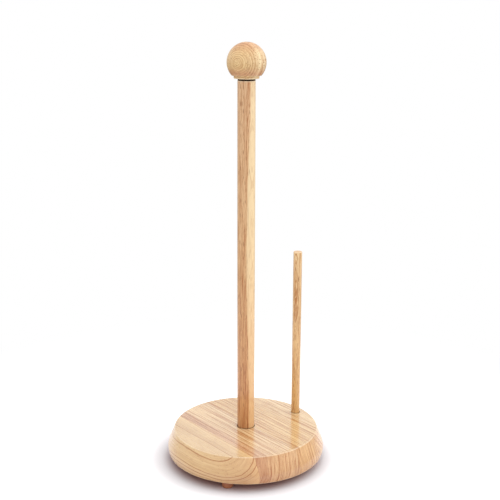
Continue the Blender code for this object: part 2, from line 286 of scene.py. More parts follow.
class Paint:
    """One material's nodes. Each call adds a node and returns its output."""

    def __init__(self, name):
        self.material = bpy.data.materials.new(name)
        self.material.use_nodes = True
        self.tree = self.material.node_tree
        self.shader = self.tree.nodes["Principled BSDF"]
        source = self.tree.nodes.new("ShaderNodeTexCoord")
        self.normal = source.outputs["Normal"]
        self.place = self.vector("SCALE", source.outputs["Object"], scale=1 / MM)

    def put(self, socket, value):
        if isinstance(value, bpy.types.NodeSocket):
            self.tree.links.new(value, socket)
        else:
            socket.default_value = value

    def set(self, **values):
        """Shader inputs by name, with _ for a space."""
        for name, value in values.items():
            self.put(self.shader.inputs[name.replace("_", " ")], value)

    def math(self, operation, a, b=0.0, c=0.0):
        node = self.tree.nodes.new("ShaderNodeMath")
        node.operation = operation
        for socket, value in zip(node.inputs, (a, b, c)):
            self.put(socket, value)
        return node.outputs[0]

    def vector(self, operation, a, b=(0.0, 0.0, 0.0), scale=1.0):
        node = self.tree.nodes.new("ShaderNodeVectorMath")
        node.operation = operation
        self.put(node.inputs[0], a)
        if operation == "SCALE":
            node.inputs["Scale"].default_value = scale
        else:
            self.put(node.inputs[1], b)
        return node.outputs["Value" if operation in ("DOT_PRODUCT", "LENGTH") else "Vector"]

    def dot(self, a, axis):
        return self.vector("DOT_PRODUCT", a, tuple(axis))

    def tinted(self, colour, tint):
        """A colour multiplied by a tint."""
        return self.mix(1.0, colour, tint, "MULTIPLY")

    def combine(self, x, y, z):
        node = self.tree.nodes.new("ShaderNodeCombineXYZ")
        for socket, value in zip(node.inputs, (x, y, z)):
            self.put(socket, value)
        return node.outputs[0]

    def noise(self, vector, scale=1.0, detail=2.0, rough=0.5):
        node = self.tree.nodes.new("ShaderNodeTexNoise")
        self.put(node.inputs["Vector"], vector)
        node.inputs["Scale"].default_value = scale
        node.inputs["Detail"].default_value = detail
        node.inputs["Roughness"].default_value = rough
        return node.outputs["Fac"]

    def cells(self, vector, scale=1.0):
        node = self.tree.nodes.new("ShaderNodeTexVoronoi")
        self.put(node.inputs["Vector"], vector)
        node.inputs["Scale"].default_value = scale
        return node.outputs["Distance"], node.outputs["Color"]

    def random(self, value):
        node = self.tree.nodes.new("ShaderNodeTexWhiteNoise")
        node.noise_dimensions = "1D"
        self.put(node.inputs["W"], value)
        return node.outputs["Value"]

    def between(self, value, low, high, start=0.0, end=1.0):
        """Smooth step from start to end as value goes from low to high."""
        node = self.tree.nodes.new("ShaderNodeMapRange")
        node.interpolation_type = "SMOOTHSTEP"
        for socket, number in zip(node.inputs, (value, low, high, start, end)):
            self.put(socket, number)
        return node.outputs[0]

    def ramp(self, value, stops):
        """Colours at values 0 to 1: stops are (value, (r, g, b))."""
        node = self.tree.nodes.new("ShaderNodeValToRGB")
        self.put(node.inputs[0], value)
        elements = node.color_ramp.elements
        while len(elements) < len(stops):
            elements.new(1.0)
        for element, (position, colour) in zip(elements, stops):
            element.position = position
            element.color = (*colour, 1.0)
        return node.outputs["Color"]

    def mix(self, factor, a, b, blend="MIX"):
        node = self.tree.nodes.new("ShaderNodeMix")
        node.data_type = "RGBA"
        node.blend_type = blend
        for socket, value in ((node.inputs[0], factor), (node.inputs[6], a), (node.inputs[7], b)):
            self.put(socket, (*value, 1.0) if isinstance(value, tuple) else value)
        return node.outputs[2]

    def from_circle(self, x, radius, height):
        """Millimetres from a level circle round a vertical axis."""
        offset = self.vector("SUBTRACT", self.place, (x / MM, 0.0, height / MM))
        level = self.vector("LENGTH", self.vector("MULTIPLY", offset, (1.0, 1.0, 0.0)))
        out = self.math("SUBTRACT", level, radius / MM)
        return self.vector("LENGTH", self.combine(out, self.dot(offset, UP), 0.0))

    def bump(self, height, strength, distance):
        node = self.tree.nodes.new("ShaderNodeBump")
        node.inputs["Strength"].default_value = strength
        node.inputs["Distance"].default_value = distance
        self.put(node.inputs["Height"], height)
        self.put(self.shader.inputs["Normal"], node.outputs["Normal"])


DARK_GRAIN = (0.56, 0.34, 0.20)      # tint of the figure
END_WARMTH = (0.87, 0.75, 0.69)      # tint of the end grain
PORE_BROWN = (0.36, 0.16, 0.06)
FLECK_BROWN = (0.33, 0.13, 0.045)
# Colour of the painted highlight along edges
EDGE_HIGHLIGHT = (0.95, 0.80, 0.58)
# Colour of the painted shade where two pieces meet
JOINT_SHADE_BROWN = (0.10, 0.045, 0.02)
STRAY = 6.0                          # mm that a growth ring wavers over, at wander 1


def wood(name, along, across, tint, pith, ring=3.1, phase=0.0, ring_depth=0.5, ring_set=11.0,
         streak=0.5, lines=1.0, run=0.012, band=0.62, band_depth=0.3, pore=0.5, fleck=0.5,
         wander=1.0, warm_ends=1.0, seed=0.0, edge_highlights=(), joint_shades=(), gloss=COAT_WEIGHT, side_gloss=None,
         matt=0.32):
    """Clear-lacquered rubberwood as a solid block: the same rings meet on every face.

    along and across are unit vectors; pith is the growth rings' centre (across, up) in mm.
    tint(paint, across, up, along) gives the plain colour and how much figure shows there, and the
    rest is drawn darker on it. The highlight and shade lists hold (centre x, radius, height, reach,
    strength) for level circles where painted highlight makes the wood paler on an edge, or painted
    shade darkens it where two pieces meet. side_gloss is the lacquer's weight on upright faces, where
    it differs from gloss.
    """
    paint = Paint(name)
    third = Vector(across).cross(Vector(along))
    u, v, w = (paint.dot(paint.place, axis) for axis in (across, third, along))
    colour, figure = tint(paint, u, v, w)

    # Distance from the pith, with the slow waver of real growth
    slow = paint.combine(paint.math("MULTIPLY_ADD", u, 0.05, seed), paint.math("MULTIPLY", v, 0.05),
                         paint.math("MULTIPLY", w, 0.012))
    stray = STRAY * wander
    sway = paint.math("MULTIPLY_ADD", paint.noise(slow, 1.0, 3.0), stray, -stray / 2)
    elsewhere = paint.vector("ADD", slow, (7.3, 2.1, 4.4))
    lift = paint.math("MULTIPLY_ADD", paint.noise(elsewhere, 1.0, 3.0), stray, -stray / 2)
    du = paint.math("SUBTRACT", paint.math("ADD", u, sway), pith[0])
    dv = paint.math("SUBTRACT", paint.math("ADD", v, lift), pith[1])
    depth = paint.vector("LENGTH", paint.combine(du, dv, 0.0))

    # Growth rings: a narrow darker line where each one ends, some stronger than others
    count = paint.math("MULTIPLY_ADD", depth, 1 / ring, phase)
    part = paint.math("FRACT", count)
    weight = paint.random(paint.math("FLOOR", paint.math("ADD", count, ring_set)))
    line = paint.math("SUBTRACT", paint.between(part, 0.70, 0.92), paint.between(part, 0.95, 1.0))
    rings = paint.math("MULTIPLY", line, paint.between(weight, 0.30, 0.85, 0.12, 1.0))

    # Fine bands between the rings, streaks that follow them, and hair-thin fibres
    thin = paint.math("SINE", paint.math("MULTIPLY", depth, math.tau / band))
    bands = paint.math("MULTIPLY", paint.math("MULTIPLY_ADD", thin, 0.5, 0.5), paint.noise(slow, 6.0, 2.0))
    around = paint.math("ADD", u, v)
    layer = paint.combine(paint.math("MULTIPLY_ADD", depth, lines, seed),
                          paint.math("MULTIPLY", around, 0.03), paint.math("MULTIPLY", w, run))

    def layered(stretch, detail, rough):
        return paint.noise(paint.vector("MULTIPLY", layer, stretch), 1.0, detail, rough)

    coarse = paint.between(layered((0.9, 1.0, 1.0), 2.0, 0.6), 0.52, 0.61)
    fine = paint.between(layered((1.5, 1.3, 1.4), 2.0, 0.6), 0.49, 0.60)
    ends = paint.between(paint.math("ABSOLUTE", paint.dot(paint.normal, along)), 0.25, 1.0)
    coarse_depth = paint.math("MULTIPLY_ADD", ends, -0.65, 0.85)
    streaks = paint.math("MULTIPLY_ADD", fine, 0.6, paint.math("MULTIPLY", coarse, coarse_depth))
    broad = layered((0.2, 0.5, 0.5), 2.0, 0.5)
    hair = layered((2.3, 9.0, 8.0), 3.0, 0.7)

    # Vessels: dots on the end grain, dark dashes on the faces, in two sizes
    def vessels(width, length, low, high, share):
        reach, cell = paint.cells(paint.combine(
            paint.math("MULTIPLY_ADD", u, 1 / width, seed), paint.math("MULTIPLY", v, 1 / width),
            paint.math("MULTIPLY", w, 1 / length)))
        chosen = paint.between(paint.dot(cell, (1.0, 0.0, 0.0)), share, share + 0.1)
        return paint.math("MULTIPLY", paint.between(reach, low, high, 1.0, 0.0), chosen)

    pores = paint.math("MULTIPLY", vessels(1.3, 8.0, 0.14, 0.32, 0.30), figure)
    flecks = paint.math("MULTIPLY", vessels(1.7, 10.0, 0.15, 0.31, 0.40), figure)

    shade = paint.math("MULTIPLY", rings, ring_depth)
    shade = paint.math("MULTIPLY_ADD", streaks, streak, shade)
    shade = paint.math("MULTIPLY_ADD", bands, band_depth, shade)
    shade = paint.math("MULTIPLY_ADD", paint.math("SUBTRACT", hair, 0.5), 1.3, shade)
    shade = paint.math("MULTIPLY_ADD", paint.math("SUBTRACT", broad, 0.5), 0.75, shade)
    shade = paint.math("MULTIPLY", paint.math("MINIMUM", paint.math("MAXIMUM", shade, 0.0), 1.0), figure)
    body = paint.mix(shade, colour, paint.tinted(colour, DARK_GRAIN))
    body = paint.mix(paint.math("MULTIPLY", pores, pore), body, PORE_BROWN)
    body = paint.mix(paint.math("MULTIPLY", flecks, fleck), body, FLECK_BROWN)
    body = paint.mix(paint.math("MULTIPLY", ends, warm_ends), body, paint.tinted(body, END_WARMTH))

    # Painted highlight along edges, and painted shade where two pieces meet
    rough = paint.math("MULTIPLY_ADD", hair, 0.25, matt)
    patchiness = paint.between(paint.noise(paint.place, 0.35, 3.0), 0.30, 0.55, 0.45, 1.0)

    # A ring round a level circle, broken up by noise, that carries painted highlight or painted shade
    def painted_ring(x, radius, height, reach, strength):
        away = paint.from_circle(x, radius, height)
        near_ring = paint.between(away, 0.25 * reach / MM, reach / MM, strength, 0.0)
        return paint.math("MULTIPLY", near_ring, patchiness)

    # Painted highlight on edges, slightly rougher there
    for circle in edge_highlights:
        highlight = painted_ring(*circle)
        body = paint.mix(highlight, body, EDGE_HIGHLIGHT)
        rough = paint.math("MULTIPLY_ADD", highlight, 0.15, rough)
    # Painted shade where two pieces meet
    for circle in joint_shades:
        body = paint.mix(painted_ring(*circle), body, JOINT_SHADE_BROWN)
    if side_gloss is not None:
        level = paint.math("ABSOLUTE", paint.dot(paint.normal, UP))
        gloss = paint.between(level, 0.6, 0.95, side_gloss, gloss)
    paint.set(Base_Color=body, Roughness=paint.math("MULTIPLY_ADD", pores, 0.15, rough),
              Coat_Weight=gloss, Coat_Roughness=COAT_ROUGHNESS, Coat_IOR=COAT_IOR)
    open_grain = paint.math("ADD", paint.math("ADD", pores, flecks), paint.math("MULTIPLY", shade, 0.4))
    paint.bump(paint.math("SUBTRACT", paint.math("MULTIPLY", hair, 0.35), open_grain), 0.35, 0.05 * MM)
    return paint.material


def turn_vector(degrees):
    """Level unit vector, this far round from +X."""
    return Vector((math.cos(math.radians(degrees)), math.sin(math.radians(degrees)), 0.0))


def stave_tint(stops):
    """Colours across the boards' width, at millimetres from the post's axis."""
    reach = BASE_RADIUS / MM

    def tint(paint, u, v, w):
        slow = paint.combine(paint.math("MULTIPLY", u, 0.1), 0.0, paint.math("MULTIPLY", w, 0.01))
        edge = paint.noise(slow)
        place = paint.math("MULTIPLY_ADD", edge, 5.0, paint.math("ADD", u, -2.5))
        share = paint.math("MULTIPLY_ADD", place, 0.5 / reach, 0.5)
        colour = paint.ramp(share, [((mm + reach) / (2 * reach), colour) for mm, colour in stops])
        height = paint.dot(paint.place, UP)
        # Painted shade: the side darkens towards the underside
        low = paint.between(height, BASE_BOTTOM / MM + 4.0, BASE_TOP / MM - 5.0, 1.0, 0.0)
        return paint.mix(low, colour, paint.tinted(colour, SIDE_FOOT_SHADE)), 1.0

    return tint


STAVE_ALONG = turn_vector(90 + math.degrees(STAVE_TURN))
STAVE_ACROSS = turn_vector(math.degrees(STAVE_TURN))
PALE = (0.72, 0.495, 0.25)
PALE_INNER = (0.83, 0.585, 0.30)
PINK = (0.71, 0.44, 0.24)
ROSY = (0.83, 0.60, 0.33)
CREAM = (0.81, 0.60, 0.335)
HONEY = (0.82, 0.585, 0.285)
SIDE_FOOT_SHADE = (0.85, 0.80, 0.74)       # painted shade low on the base's side

# Each board's slot, its colours at millimetres across, and the figure of its wood
STAVE_WOODS = (
    ("pale_wood", ((-75, PALE), (-47, PALE), (-37, PALE_INNER)),
     dict(pith=(-61.7, 39.8), ring=3.1, phase=-0.45, ring_depth=1.0, ring_set=731, streak=0.2,
          pore=0.3, wander=0.6)),
    ("pink_wood", ((-36, PINK), (-30, PINK), (-22, ROSY), (-9, ROSY), (2, CREAM)),
     dict(pith=(-230.0, 60.0), ring=3.6, phase=0.0, ring_depth=0.65, ring_set=13, streak=1.1,
          pore=0.3, wander=0.25)),
    ("pink_wood", ((4, HONEY), (34, HONEY)),
     dict(pith=(170.0, 30.0), ring=4.2, phase=0.3, ring_depth=0.65, ring_set=15, streak=1.1,
          pore=0.45, wander=0.3)),
    ("pink_wood", ((35, HONEY), (55, CREAM)),
     dict(pith=(-130.0, -130.0), ring=3.8, phase=0.6, ring_depth=0.5, ring_set=17, streak=0.95,
          pore=0.45, wander=0.3)),
)
PALE_LIT_SIDE = -33.1                    # degrees from +X, paler side: painted light, and on the post sapwood


def dowel_tint(light, dark, dark_low, foot):
    """Heartwood beside paler sapwood, which painted light makes paler still: their edge wanders
    up the dowel. Painted shade deepens both to the foot.
    """

    def tint(paint, u, v, w):
        # The pale side is paler sapwood with painted light on it
        side = paint.dot(paint.place, turn_vector(PALE_LIT_SIDE))
        wave = paint.noise(paint.combine(0.0, 0.0, paint.math("MULTIPLY", w, 0.015)), 1.0, 2.0)
        split_high = paint.between(w, 230.0, 350.0, 0.4, 3.6)
        split_low = paint.between(w, 60.0, 190.0, 2.6, 0.0)
        split = paint.math("MULTIPLY_ADD", paint.math("SUBTRACT", wave, 0.5), 3.0,
                           paint.math("ADD", split_high, split_low))
        share = paint.between(paint.math("SUBTRACT", side, split), -0.5, 0.5)
        low = paint.between(w, 60.0, 240.0, 1.0, 0.0)
        heart = paint.mix(paint.between(w, 60.0, 380.0, 1.0, 0.0), dark, dark_low)
        colour = paint.mix(share, heart, light)
        figure = paint.between(share, 0.0, 1.0, 1.0, 0.3)
        # Painted shade deepens both colours towards the foot
        return paint.mix(low, colour, paint.tinted(colour, foot)), figure

    return tint


def rising_tint(low, high):
    """One colour low on the dowel, painted shade near the base, that turns into another higher up."""
    return lambda paint, u, v, w: (paint.mix(paint.between(w, 45.0, 190.0), low, high), 1.0)


def knob_tint(dark, light, crown, foot):
    """Painted light makes one side of the ball paler, and painted shade its top and bottom deeper."""

    def tint(paint, u, v, w):
        side = paint.dot(paint.place, turn_vector(PALE_LIT_SIDE))
        up = paint.math("ADD", paint.dot(paint.place, UP), (BALL_RADIUS - KNOB_TOP) / MM)
        # Painted light: paler on one side
        colour = paint.mix(paint.between(side, -4.0, 15.0), dark, light)
        # Painted shade towards the top
        colour = paint.mix(paint.between(up, 6.0, 17.0), colour, paint.tinted(colour, crown))
        # Painted shade under the ball, stopping at the collar
        low = paint.math("SUBTRACT", paint.between(up, -2.0, -10.0), paint.between(up, -10.6, -11.4))
        return paint.mix(low, colour, paint.tinted(colour, foot)), 1.0

    return tint


def rubber():
    """Moulded brown rubber, a little dusty."""
    paint = Paint("moulded_brown_rubber")
    grain = paint.noise(paint.place, 3.0, 4.0, 0.6)
    dust = paint.noise(paint.place, 0.5, 3.0)
    colour = paint.mix(paint.between(dust, 0.45, 0.75), (0.31, 0.105, 0.045), (0.37, 0.145, 0.065))
    colour = paint.mix(paint.between(grain, 0.55, 0.8), colour, (0.27, 0.09, 0.04))
    rough = paint.math("MULTIPLY_ADD", grain, 0.3, 0.35)
    paint.set(Base_Color=colour, Roughness=rough, Specular_IOR_Level=0.5)
    paint.bump(grain, 0.4, 0.04 * MM)
    return paint.material


def fibre():
    """Pressed black fibre."""
    paint = Paint("black_fibre")
    threads = paint.noise(paint.vector("MULTIPLY", paint.place, (1.0, 1.0, 6.0)), 2.5, 5.0, 0.65)
    colour = paint.mix(threads, (0.003, 0.002, 0.0015), (0.02, 0.012, 0.008))
    rough = paint.math("MULTIPLY_ADD", threads, 0.3, 0.6)
    paint.set(Base_Color=colour, Roughness=rough, Specular_IOR_Level=0.1)
    paint.bump(threads, 0.5, 0.05 * MM)
    return paint.material


def metal(name, light, dark, rough, scratch):
    """Plated metal: faint turning marks and cloudy plating."""
    paint = Paint(name)
    cloud = paint.noise(paint.place, 0.7, 3.0)
    marks = paint.noise(paint.vector("MULTIPLY", paint.place, (0.6, 0.6, 14.0)), 1.5, 4.0, 0.6)
    colour = paint.mix(paint.between(cloud, 0.35, 0.7), dark, light)
    clouded = paint.math("MULTIPLY_ADD", cloud, 0.15, rough)
    paint.set(Base_Color=colour, Metallic=1.0,
              Roughness=paint.math("MULTIPLY_ADD", marks, scratch, clouded))
    paint.bump(marks, 0.25, 0.02 * MM)
    return paint.material


STEEL = metal("bright_steel", (0.62, 0.61, 0.60), (0.42, 0.41, 0.41), 0.18, 0.2)
ZINC = metal("plated_zinc", (0.66, 0.64, 0.58), (0.48, 0.46, 0.42), 0.28, 0.15)
RUBBER = rubber()
FIBRE = fibre()

DOWEL_FIGURE = dict(ring_depth=0.35, lines=2.2, run=0.03, band_depth=0.2, pore=0.5, fleck=0.8,
                    warm_ends=0.5, gloss=0.3)
POST_WOOD = wood(
    "post_wood", UP, turn_vector(-60),
    # light is sapwood with painted light on it; foot is painted shade near the base
    dowel_tint(light=(0.93, 0.71, 0.42), dark=(0.88, 0.58, 0.325), dark_low=(0.77, 0.485, 0.24),
               foot=(0.84, 0.69, 0.57)),
    pith=(28.0, 12.0), ring=2.7, streak=0.95, wander=1.2, seed=3.0,
    # Painted highlight round the post's top edge
    edge_highlights=((0.0, POST_RADIUS, POST_TOP - 1.0 * MM, 0.9 * MM, 0.6),),
    # Painted shade round the post's foot
    joint_shades=((0.0, POST_RADIUS, BASE_TOP, 0.6 * MM, 0.6),), **DOWEL_FIGURE)
ARM_WOOD = wood(
    "side_arm_wood", UP, turn_vector(-130),
    # the deeper low colour is painted shade near the base
    rising_tint(low=(0.70, 0.42, 0.165), high=(0.90, 0.655, 0.36)),
    pith=(60.0, -14.0), ring=2.2, streak=0.75, wander=1.6, seed=9.0,
    # Painted highlight round the arm's top edge
    edge_highlights=((ARM_CENTRE.x, ARM_RADIUS, ARM_HIGH.z, 1.0 * MM, 0.4),),
    # Painted shade round the arm's foot
    joint_shades=((ARM_CENTRE.x, ARM_RADIUS, BASE_TOP, 0.5 * MM, 0.4),), **DOWEL_FIGURE)
NECK_HEIGHT = COLLAR_BOTTOM + COLLAR_HEIGHT - 0.3 * MM
KNOB_WOOD = wood(
    "knob_wood", turn_vector(-149), turn_vector(121),
    # light is the side with painted light; crown and foot are painted shade
    knob_tint(dark=(0.99, 0.74, 0.38), light=(0.98, 0.78, 0.47), crown=(0.77, 0.60, 0.56),
              foot=(0.80, 0.61, 0.54)),
    pith=(0.6, (KNOB_TOP - BALL_RADIUS) / MM + 0.4), ring=5.4, ring_depth=0.25, streak=0.4,
    lines=1.6, run=0.04, band=1.75, band_depth=0.8, pore=0.7, wander=0.3, warm_ends=0.3, seed=5.0,
    # Painted highlight on the collar's lower edge
    edge_highlights=((0.0, COLLAR_RADIUS, COLLAR_BOTTOM, 1.3 * MM, 0.7),),
    # Painted shade under the ball, round the top of the collar
    joint_shades=((0.0, COLLAR_RADIUS + 1.0 * MM, NECK_HEIGHT, 1.0 * MM, 0.25),), gloss=0.25)


# ---------------------------------------------------------------- pieces


def base_outline():
    """The side slopes straight out from the top face, then runs into the round nose."""
    nose = Vector((BASE_RADIUS - NOSE_RADIUS, BASE_BOTTOM + WIDEST_HEIGHT))
    run, rise = TOP_FACE_RADIUS - nose.x, BASE_TOP - nose.y
    start = math.atan2(rise, run) - math.acos(NOSE_RADIUS / math.hypot(run, rise))
    end = -math.asin((WIDEST_HEIGHT - BOTTOM_EDGE_ROUND) / NOSE_RADIUS)
    count = 16
    angles = [start + (end - start) * i / count for i in range(count + 1)]
    side = [nose + NOSE_RADIUS * Vector((math.cos(a), math.sin(a))) for a in angles]
    foot = side[-1].x
    return rounded([
        (0.0, BASE_TOP, 0.0),
        (TOP_FACE_RADIUS - 2.5 * TOP_EDGE_ROUND, BASE_TOP, 0.0),
        (TOP_FACE_RADIUS, BASE_TOP, TOP_EDGE_ROUND),
        *[(point.x, point.y, 0.0) for point in side],
        (foot - 0.35 * BOTTOM_EDGE_ROUND, BASE_BOTTOM + 0.25 * BOTTOM_EDGE_ROUND, 0.0),
        (foot - BOTTOM_EDGE_ROUND, BASE_BOTTOM, 0.0),
        (foot - 4 * BOTTOM_EDGE_ROUND, BASE_BOTTOM, 0.0),
        (0.0, BASE_BOTTOM, 0.0),
    ])


def socket(name, radius, floor, x=0.0, extra=()):
    """Cutter for a dowel's blind hole with a tiny broken edge."""
    wide = radius + SOCKET_GAP
    return turned(name, [
        (0.0, BASE_TOP + MM),
        (wide + SOCKET_ARRIS + MM, BASE_TOP + MM),
        (wide, BASE_TOP - SOCKET_ARRIS),
        (wide, floor),
        *extra,
        (0.0, floor if not extra else extra[-1][1]),
    ], DOWEL_STEPS, x=x)


def add_base():
    """The turned disc, cut into its four boards, with every bore."""
    ceiling = BASE_BOTTOM + COUNTERBORE_DEPTH
    below = BASE_BOTTOM - MM
    bores = [
        socket("post_socket", POST_RADIUS, POST_FOOT, extra=(
            (SCREW_HOLE_RADIUS, POST_FOOT), (SCREW_HOLE_RADIUS, ceiling),
            (COUNTERBORE_RADIUS, ceiling), (COUNTERBORE_RADIUS, below))),
        socket("arm_socket", ARM_RADIUS, ARM_LOW.z, ARM_CENTRE.x),
    ]
    pilot_end = BASE_BOTTOM + FOOT_PILOT_DEPTH
    pilot = [(0.0, pilot_end), (FOOT_PILOT_RADIUS, pilot_end), (FOOT_PILOT_RADIUS, below), (0.0, below)]
    bores += [turned("foot_pilot", pilot, SCREW_STEPS, x=centre.x, y=centre.y)
              for _, _, centre in FEET]
    disc = turned("disc", base_outline(), BASE_STEPS)
    outline_foot = max(vertex.co.x for vertex in disc.vertices if vertex.co.z < BASE_BOTTOM + 0.1 * MM)
    beyond = 1.2 * BASE_RADIUS
    sides = (-beyond, *GLUE_LINES, beyond)
    # Painted highlight along the base's top and bottom edges
    edge_highlights = ((0.0, TOP_FACE_RADIUS, BASE_TOP, 1.0 * MM, 0.35),
            (0.0, outline_foot, BASE_BOTTOM, 1.1 * MM, 0.6))
    # Painted shade round the feet of the post and of the arm
    joint_shades = ((0.0, POST_RADIUS + SOCKET_GAP, BASE_TOP, 0.7 * MM, 0.6),
             (ARM_CENTRE.x, ARM_RADIUS + SOCKET_GAP, BASE_TOP, 0.5 * MM, 0.4))
    for index, (name, (slot, stops, figure)) in enumerate(zip(STAVES, STAVE_WOODS)):
        low = (sides[index] + GLUE_LINE_WIDTH / 2, -beyond, 0.0)
        high = (sides[index + 1] - GLUE_LINE_WIDTH / 2, beyond, BASE_TOP + MM)
        mesh = cut(disc.copy(), "INTERSECT", box("slab", low, high, STAVE_TURN))
        mesh = cut(mesh, "DIFFERENCE", *[bore.copy() for bore in bores])
        material = wood(name + "_wood", STAVE_ALONG, STAVE_ACROSS, stave_tint(stops), fleck=0.35,
                        seed=2.0 * index, edge_highlights=edge_highlights, joint_shades=joint_shades, side_gloss=0.45, matt=0.14, **figure)
        mesh.name = name + "_board"
        add_piece(name + "_board", mesh, material, "root", slot, name)


def add_dowels():
    """The post, bored for its insert and its screw, and the side arm."""
    bore = INSERT_RADIUS + INSERT_BARB
    insert_floor = INSERT_BOTTOM - INSERT_BORE_FLOOR
    screw_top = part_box("post_screw")[1].z + MM
    outline = rounded([
        (0.0, insert_floor, 0.0),
        (bore, insert_floor, 0.0),
        (bore, POST_TOP - JOINT_SHADOW, 0.0),
        (POST_RADIUS, POST_TOP - JOINT_SHADOW, 0.3 * MM),
        (POST_RADIUS, POST_FOOT, DOWEL_EDGE_ROUND),
        (SCREW_HOLE_RADIUS, POST_FOOT, 0.0),
        (SCREW_HOLE_RADIUS, screw_top, 0.0),
        (0.0, screw_top, 0.0),
    ])
    mesh = turned("post_dowel", outline, DOWEL_STEPS)
    add_piece("post_dowel", mesh, POST_WOOD, "root", "dowel_wood", "post")
    outline = rounded([
        (0.0, ARM_HIGH.z, 0.0),
        (ARM_RADIUS, ARM_HIGH.z, DOWEL_EDGE_ROUND),
        (ARM_RADIUS, ARM_LOW.z, DOWEL_EDGE_ROUND),
        (0.0, ARM_LOW.z, 0.0),
    ])
    mesh = turned("side_arm_dowel", outline, DOWEL_STEPS, x=ARM_CENTRE.x)
    add_piece("side_arm_dowel", mesh, ARM_WOOD, "root", "dowel_wood", "side_arm")


def add_knob():
    """The ball and its collar, one piece of wood, with a blind hole for the stud."""
    centre = KNOB_TOP - BALL_RADIUS
    collar_top = COLLAR_BOTTOM + COLLAR_HEIGHT
    cut_angle = -math.asin((centre - collar_top) / BALL_RADIUS)
    count = 48
    angles = [math.pi / 2 + (cut_angle - math.pi / 2) * i / count for i in range(1, count + 1)]
    shoulder = collar_top - 0.35 * MM
    hole = STUD_RADIUS + 0.1 * MM
    hole_end = STUD_TOP + 0.1 * MM
    outline = [(0.0, KNOB_TOP)]
    outline += [(BALL_RADIUS * math.cos(a), centre + BALL_RADIUS * math.sin(a)) for a in angles]
    neck = outline[-1][0]
    outline += [tuple(point) for point in rounded([
        (neck, collar_top, 0.0),
        (neck - 0.3 * MM, shoulder, 0.0),
        (COLLAR_RADIUS, shoulder, 0.45 * MM),
        (COLLAR_RADIUS, COLLAR_BOTTOM, 0.35 * MM),
        (hole, COLLAR_BOTTOM, 0.0),
        (hole, hole_end, 0.0),
        (0.0, hole_end, 0.0),
    ])[1:]]
    mesh = turned("ball_knob", outline, DOWEL_STEPS)
    add_piece("ball_knob", mesh, KNOB_WOOD, "knob", "knob_wood", "knob")


# Thread profiles: (share of the pitch, share of the way from core to crest)
METRIC = ((0.0, 0.0), (0.12, 0.0), (0.5, 1.0), (0.62, 1.0))
WOOD_THREAD = ((0.0, 0.0), (0.35, 0.0), (0.5, 1.0), (0.65, 0.0))


def stud_radii(height):
    room = min(height - STUD_BOTTOM, STUD_TOP - height, STUD_LEAD)
    crest = STUD_RADIUS - (STUD_LEAD - max(room, 0.0)) * 0.9
    return min(STUD_CORE_RADIUS, crest), crest


def tapped_radii(height):
    return STUD_CORE_RADIUS + THREAD_CLEARANCE, STUD_RADIUS + THREAD_CLEARANCE


def add_joint_parts():
    """The stud in the knob, the washer on it, and the insert in the post."""
    stud = threaded("threaded_stud", STUD_BOTTOM, STUD_TOP, STUD_PITCH, METRIC, stud_radii)
    add_piece("threaded_stud", stud, STEEL, "knob", "steel", "knob_stud")

    top = COLLAR_BOTTOM - WASHER_CLEARANCE
    bottom = POST_TOP - JOINT_SHADOW + WASHER_CLEARANCE
    hole = STUD_RADIUS + 0.15 * MM
    ring = rounded([
        (KNOB_WASHER_RADIUS, top, 0.15 * MM), (KNOB_WASHER_RADIUS, bottom, 0.15 * MM),
        (hole, bottom, 0.1 * MM), (hole, top, 0.1 * MM)])
    washer = turned("fibre_washer", ring, DOWEL_STEPS, closed=True)
    add_piece("fibre_washer", washer, FIBRE, "knob_lift", "black_fibre", "knob_washer")

    insert_top = min(INSERT_TOP, POST_TOP - JOINT_SHADOW)
    pitch = (insert_top - INSERT_BOTTOM) / INSERT_BARBS
    barb_radius = INSERT_RADIUS + INSERT_BARB
    outline = [(0.0, insert_top)]
    for barb in range(INSERT_BARBS):
        top = insert_top - barb * pitch
        outline += [(barb_radius, top), (barb_radius, top - 0.08 * pitch),
                    (INSERT_RADIUS, top - 0.85 * pitch)]
    outline += [(INSERT_RADIUS, INSERT_BOTTOM), (0.0, INSERT_BOTTOM)]
    blank = turned("barbed_insert", outline, SMALL_STEPS)
    tap = threaded("tap", INSERT_BOTTOM - MM, INSERT_TOP + MM, STUD_PITCH, METRIC, tapped_radii)
    add_piece("barbed_insert", cut(blank, "DIFFERENCE", tap), ZINC, "root", "zinc", "post_insert")


